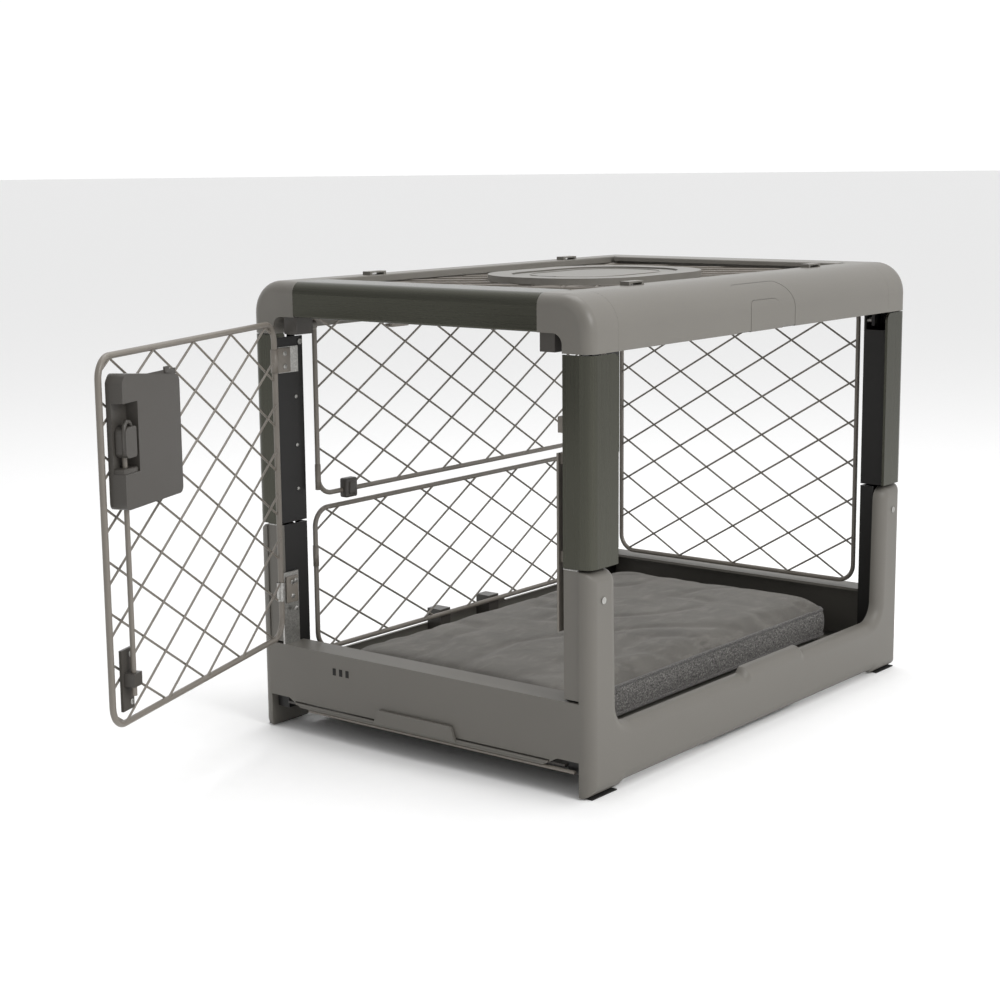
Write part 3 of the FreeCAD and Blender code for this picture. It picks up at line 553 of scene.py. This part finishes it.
def grown(name, tree, spots, body, slot, **sizes):
    """Runs a tree over the (place, facing) spots and keeps the result as one plain mesh on the body."""
    seed = bpy.data.meshes.new(name + "_spots")
    seed.from_pydata([p for p, _ in spots], [], [])
    seed.attributes.new("facing", "FLOAT_VECTOR", "POINT").data.foreach_set(
        "vector", [c for _, face in spots for c in face])
    holder = bpy.data.objects.new(name + "_spots", seed)
    bpy.context.scene.collection.objects.link(holder)
    modifier = holder.modifiers.new("grow", "NODES")
    modifier.node_group = tree
    for item in tree.interface.items_tree:
        if item.in_out == "INPUT" and item.name in sizes:
            modifier[item.identifier] = sizes[item.name]
        elif item.in_out == "INPUT" and item.name == "Finish":
            modifier[item.identifier] = FINISHES[slot]
    bpy.context.view_layer.update()
    mesh = bpy.data.meshes.new_from_object(holder.evaluated_get(bpy.context.evaluated_depsgraph_get()))
    bpy.data.objects.remove(holder)
    mesh.name = name
    return piece(name, mesh, body, slot)


FRONT_FACE, REAR_FACE = (0, -1, 0), (0, 1, 0)
RIGHT_FACE, LEFT_FACE = (1, 0, 0), (-1, 0, 0)
UP = (0, 0, 1)
screws = screw_tree()
rivets = rivet_tree()
SCREW = {"Head Radius": 3.6 * MM, "Head Height": 1.0 * MM, "Slot Width": 0.9 * MM}
RIVET = {"Radius": 2.8 * MM, "Rise": 1.1 * MM}


def mm(*values):
    return tuple(v * MM for v in values)


jamb_low, jamb_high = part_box("door_jamb_hinge")
saddle_low, saddle_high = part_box("upper_hinge_saddle")
grown("jamb_hinge_screws", screws, [(((jamb_high.x), jamb_high.y - 12 * MM, z), RIGHT_FACE)
      for z in (jamb_low.z + 50 * MM, jamb_high.z - 12 * MM)], "base", "steel", **SCREW)
cover_low, cover_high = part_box("front_post_covers")
post_face, post_mid = cover_low.y, cover_low.x + 21 * MM
rear_face = -cover_low.y
channel_low, channel_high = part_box("front_post_channels")
inner = 245.5 * MM
for name, body, sign in (("front_channel_rivets", "front_upper_legs", -1), ("rear_channel_rivets", "rear_upper_legs", 1)):
    spots = [((side * (inner - 0.2 * MM), sign * y * MM, z * MM), (-side, 0, 0))
             for side in (-1, 1) for y, z in ((372, 340), (372, 402), (372, 470), (372, 532))]
    grown(name, rivets, spots, body, "steel", **RIVET)



def pad(low, high, round_by=1.2, segments=3, place=None):
    """A moulded or pressed block with rolled edges, given in millimetres, turned by place if that is given."""
    bm = bmesh.new()
    bmesh.ops.create_cube(bm, size=1.0)
    low, high = Vector(low) * MM, Vector(high) * MM
    for v in bm.verts:
        v.co = Vector([a + (b - a) * (c + 0.5) for a, b, c in zip(low, high, v.co)])
    bmesh.ops.bevel(bm, geom=bm.edges[:], offset=round_by * MM, segments=segments, affect="EDGES", profile=0.5)
    if place is not None:
        bm.transform(place)
    return bm


def joined(name, *parts):
    whole = bmesh.new()
    for bm in parts:
        mesh = bpy.data.meshes.new("part")
        bm.to_mesh(mesh)
        bm.free()
        whole.from_mesh(mesh)
        bpy.data.meshes.remove(mesh)
    return from_bmesh(whole, name)


DOOR_PIVOT = Vector((-239.5, -418.0, 0)) * MM
DOOR_TURN = Matrix.Translation(DOOR_PIVOT) @ Matrix.Rotation(math.radians(-70), 4, "Z")


def on_door(x, y, z):
    return tuple(DOOR_TURN @ (Vector((x, y, z)) * MM))


door_inward = tuple(DOOR_TURN.to_3x3() @ Vector((0, 1, 0)))

# hinge plates on the left front post, with their screws
plates = joined("upper_hinge_plate", pad((-243.4, -412, 506), (-241.2, -385, 540), 0.8),
                tube([(-0.2395, -0.418, 0.507), (-0.2395, -0.418, 0.539)], 5.4 * MM))
piece("upper_hinge_plate", plates, "front_upper_legs", "painted_wire")
grown("upper_hinge_screws", screws, [(mm(-241.2, -396, z), RIGHT_FACE) for z in (514, 532)],
      "front_upper_legs", "steel", **SCREW)
piece("lower_hinge_plate", joined("lower_hinge_plate", pad((-240.6, -408, 182), (-238.6, -385, 220), 0.8)),
      "base", "painted_wire")
grown("lower_hinge_screws", screws, [(mm(-238.6, -396, z), RIGHT_FACE) for z in (191, 211)], "base", "steel", **SCREW)

# the clip that steadies the two left wall panels, and sleeves on their upright tubes
clip_parts = [pad((-236.3, -299, 318), (-222, -275, 346), 3.0), pad((-226, -294, 323), (-219, -280, 341), 2.0)]
piece("panel_joining_clip", joined("panel_joining_clip", *clip_parts), "roof", "dark_plastic")
for label, x, span, body in (("upper_panel_sleeve", -232.0, (336, 372), "roof"), ("lower_panel_sleeve", -240.0, (225, 255), "base")):
    ends = [(x * MM, -0.3465, z * MM) for z in span]
    piece(label, from_bmesh(tube(ends, 4.2 * MM, sides=20), label), body, "painted_wire")

# lock guide screws, rod clamp and lever pull
grown("lock_guide_screws", screws, [(on_door(438.5, 8.0, z), door_inward) for z in (164, 222)], "front_door", "steel", **SCREW)
clamp = joined("rod_clamp", pad((430, 6, 430), (462, 25, 446), 2.0, place=DOOR_TURN),
               pad((436, 6, 402), (460, 24, 424), 2.0, place=DOOR_TURN))
piece("rod_clamp", clamp, "front_door", "dark_plastic")
pull = [on_door(x, 22.0, z) for x, z in ((437, 462), (436.5, 480), (438, 492), (443, 499), (449, 500), (454, 496), (456, 488), (456, 462))]
piece("lever_pull", from_bmesh(tube(pull, 2.6 * MM), "lever_pull"), "latch", "dark_plastic")
housing_ribs = [pad((326 + 2, 22.0, 404), (424, 23.2, 550), 1.1, place=DOOR_TURN),
                pad((344, 21.5, 546), (356, 24.5, 554), 1.0, place=DOOR_TURN)]
piece("housing_cover", joined("housing_cover", *housing_ribs), "front_door", "dark_plastic")

# hatch lid bead and finger tab
bead = [Vector((x, y, 0.6290)) for x, y in outline(0.070, 0.108, 0.066, per_corner=18)]
piece("hatch_lid_bead", from_bmesh(tube(bead, 0.9 * MM, closed=True, sides=10), "hatch_lid_bead"), "hatch", "roof_plastic")
piece("hatch_finger_tab", joined("hatch_finger_tab", pad((-14, -125, 627.5), (14, -112, 630.8), 1.4)), "hatch", "dark_plastic")

# hook on the stowed side door's free edge
hook_parts = [pad((-166, -262, 566), (-162, -226, 592), 1.2), pad((-176, -262, 562), (-162, -226, 566.5), 1.2),
              pad((-186, -262, 584), (-164, -226, 588), 1.2)]
piece("side_door_hook", joined("side_door_hook", *hook_parts), "side_door", "painted_wire")

# slanted drain slots in the front plate, drawn as thin near-black rubber pads on its face: painted shade where the
# openings show dark
slot_shade_pads = [pad((x, -412.9, 94), (x + 6, -412.1, 104), 0.35) for x in (-150, -138, -126)]
piece("front_plate_slot_shade_pads", joined("front_plate_slot_shade_pads", *slot_shade_pads), "base", "rubber")

# ---------------------------------------------------------------- camera, light, floor
def look():
    yaw, pitch, roll = math.radians(-38.542), math.radians(-10.066), math.radians(-0.544)
    forward = Vector((math.sin(yaw) * math.cos(pitch), math.cos(yaw) * math.cos(pitch), math.sin(pitch)))
    right0 = Vector((math.cos(yaw), -math.sin(yaw), 0))
    up0 = right0.cross(forward)
    right = right0 * math.cos(roll) + up0 * math.sin(roll)
    up = up0 * math.cos(roll) - right0 * math.sin(roll)
    matrix = Matrix((right, up, -forward)).transposed().to_4x4()
    matrix.translation = Vector((1.6377, -2.2828, 0.7944))
    data = bpy.data.cameras.new("camera")
    data.sensor_width, data.lens = 36.0, 69.43
    camera = bpy.data.objects.new("camera", data)
    camera.matrix_world = matrix
    bpy.context.scene.collection.objects.link(camera)
    bpy.context.scene.camera = camera


def floor_finish():
    f = Finish("pale_floor", Specular_IOR_Level=0.15)
    grain = f.noise(40.0)
    return f.feed(Base_Color=f.mix(grain, (0.93, 0.93, 0.93), (0.95, 0.95, 0.95)), Roughness=grain * 0.1 + 0.75,
                  Normal=f.bump(grain, 0.0001, 0.2))


def studio():
    bm = bmesh.new()
    bmesh.ops.create_circle(bm, cap_ends=True, segments=96, radius=90.0)
    mesh = from_bmesh(bm, "studio_floor", smooth=False)
    mesh.materials.append(floor_finish())
    floor = bpy.data.objects.new("studio_floor", mesh)
    bpy.context.scene.collection.objects.link(floor)
    world = bpy.data.worlds.new("studio")
    world.use_nodes = True
    tree = world.node_tree
    tree.nodes["Background"].inputs["Color"].default_value = (1, 1, 1, 1)
    place = tree.nodes.new("ShaderNodeTexCoord")
    parts = tree.nodes.new("ShaderNodeSeparateXYZ")
    depth = tree.nodes.new("ShaderNodeMapRange")
    depth.interpolation_type = "SMOOTHSTEP"
    for socket, value in (("From Min", -0.95), ("From Max", 0.15), ("To Min", 0.35), ("To Max", 1.04)):
        depth.inputs[socket].default_value = value
    tree.links.new(place.outputs["Generated"], parts.inputs[0])
    tree.links.new(parts.outputs["Y"], depth.inputs["Value"])
    tree.links.new(depth.outputs["Result"], tree.nodes["Background"].inputs["Strength"])
    bpy.context.scene.world = world
    centre = Vector((0, 0, 0.3))
    for name, place, size, power in (("key", (3.0, -0.5, 2.3), 1.5, 52), ("fill", (-0.6, -3.2, 1.8), 1.8, 6),
                                     ("top", (-0.3, 0.4, 3.0), 2.0, 30)):
        data = bpy.data.lights.new(name, "AREA")
        data.shape, data.size, data.energy = "DISK", size, power
        light = bpy.data.objects.new(name, data)
        light.location = place
        light.rotation_euler = (centre - Vector(place)).to_track_quat("-Z", "Y").to_euler()
        bpy.context.scene.collection.objects.link(light)
    bpy.context.scene.view_settings.view_transform = "Standard"


look()
studio()
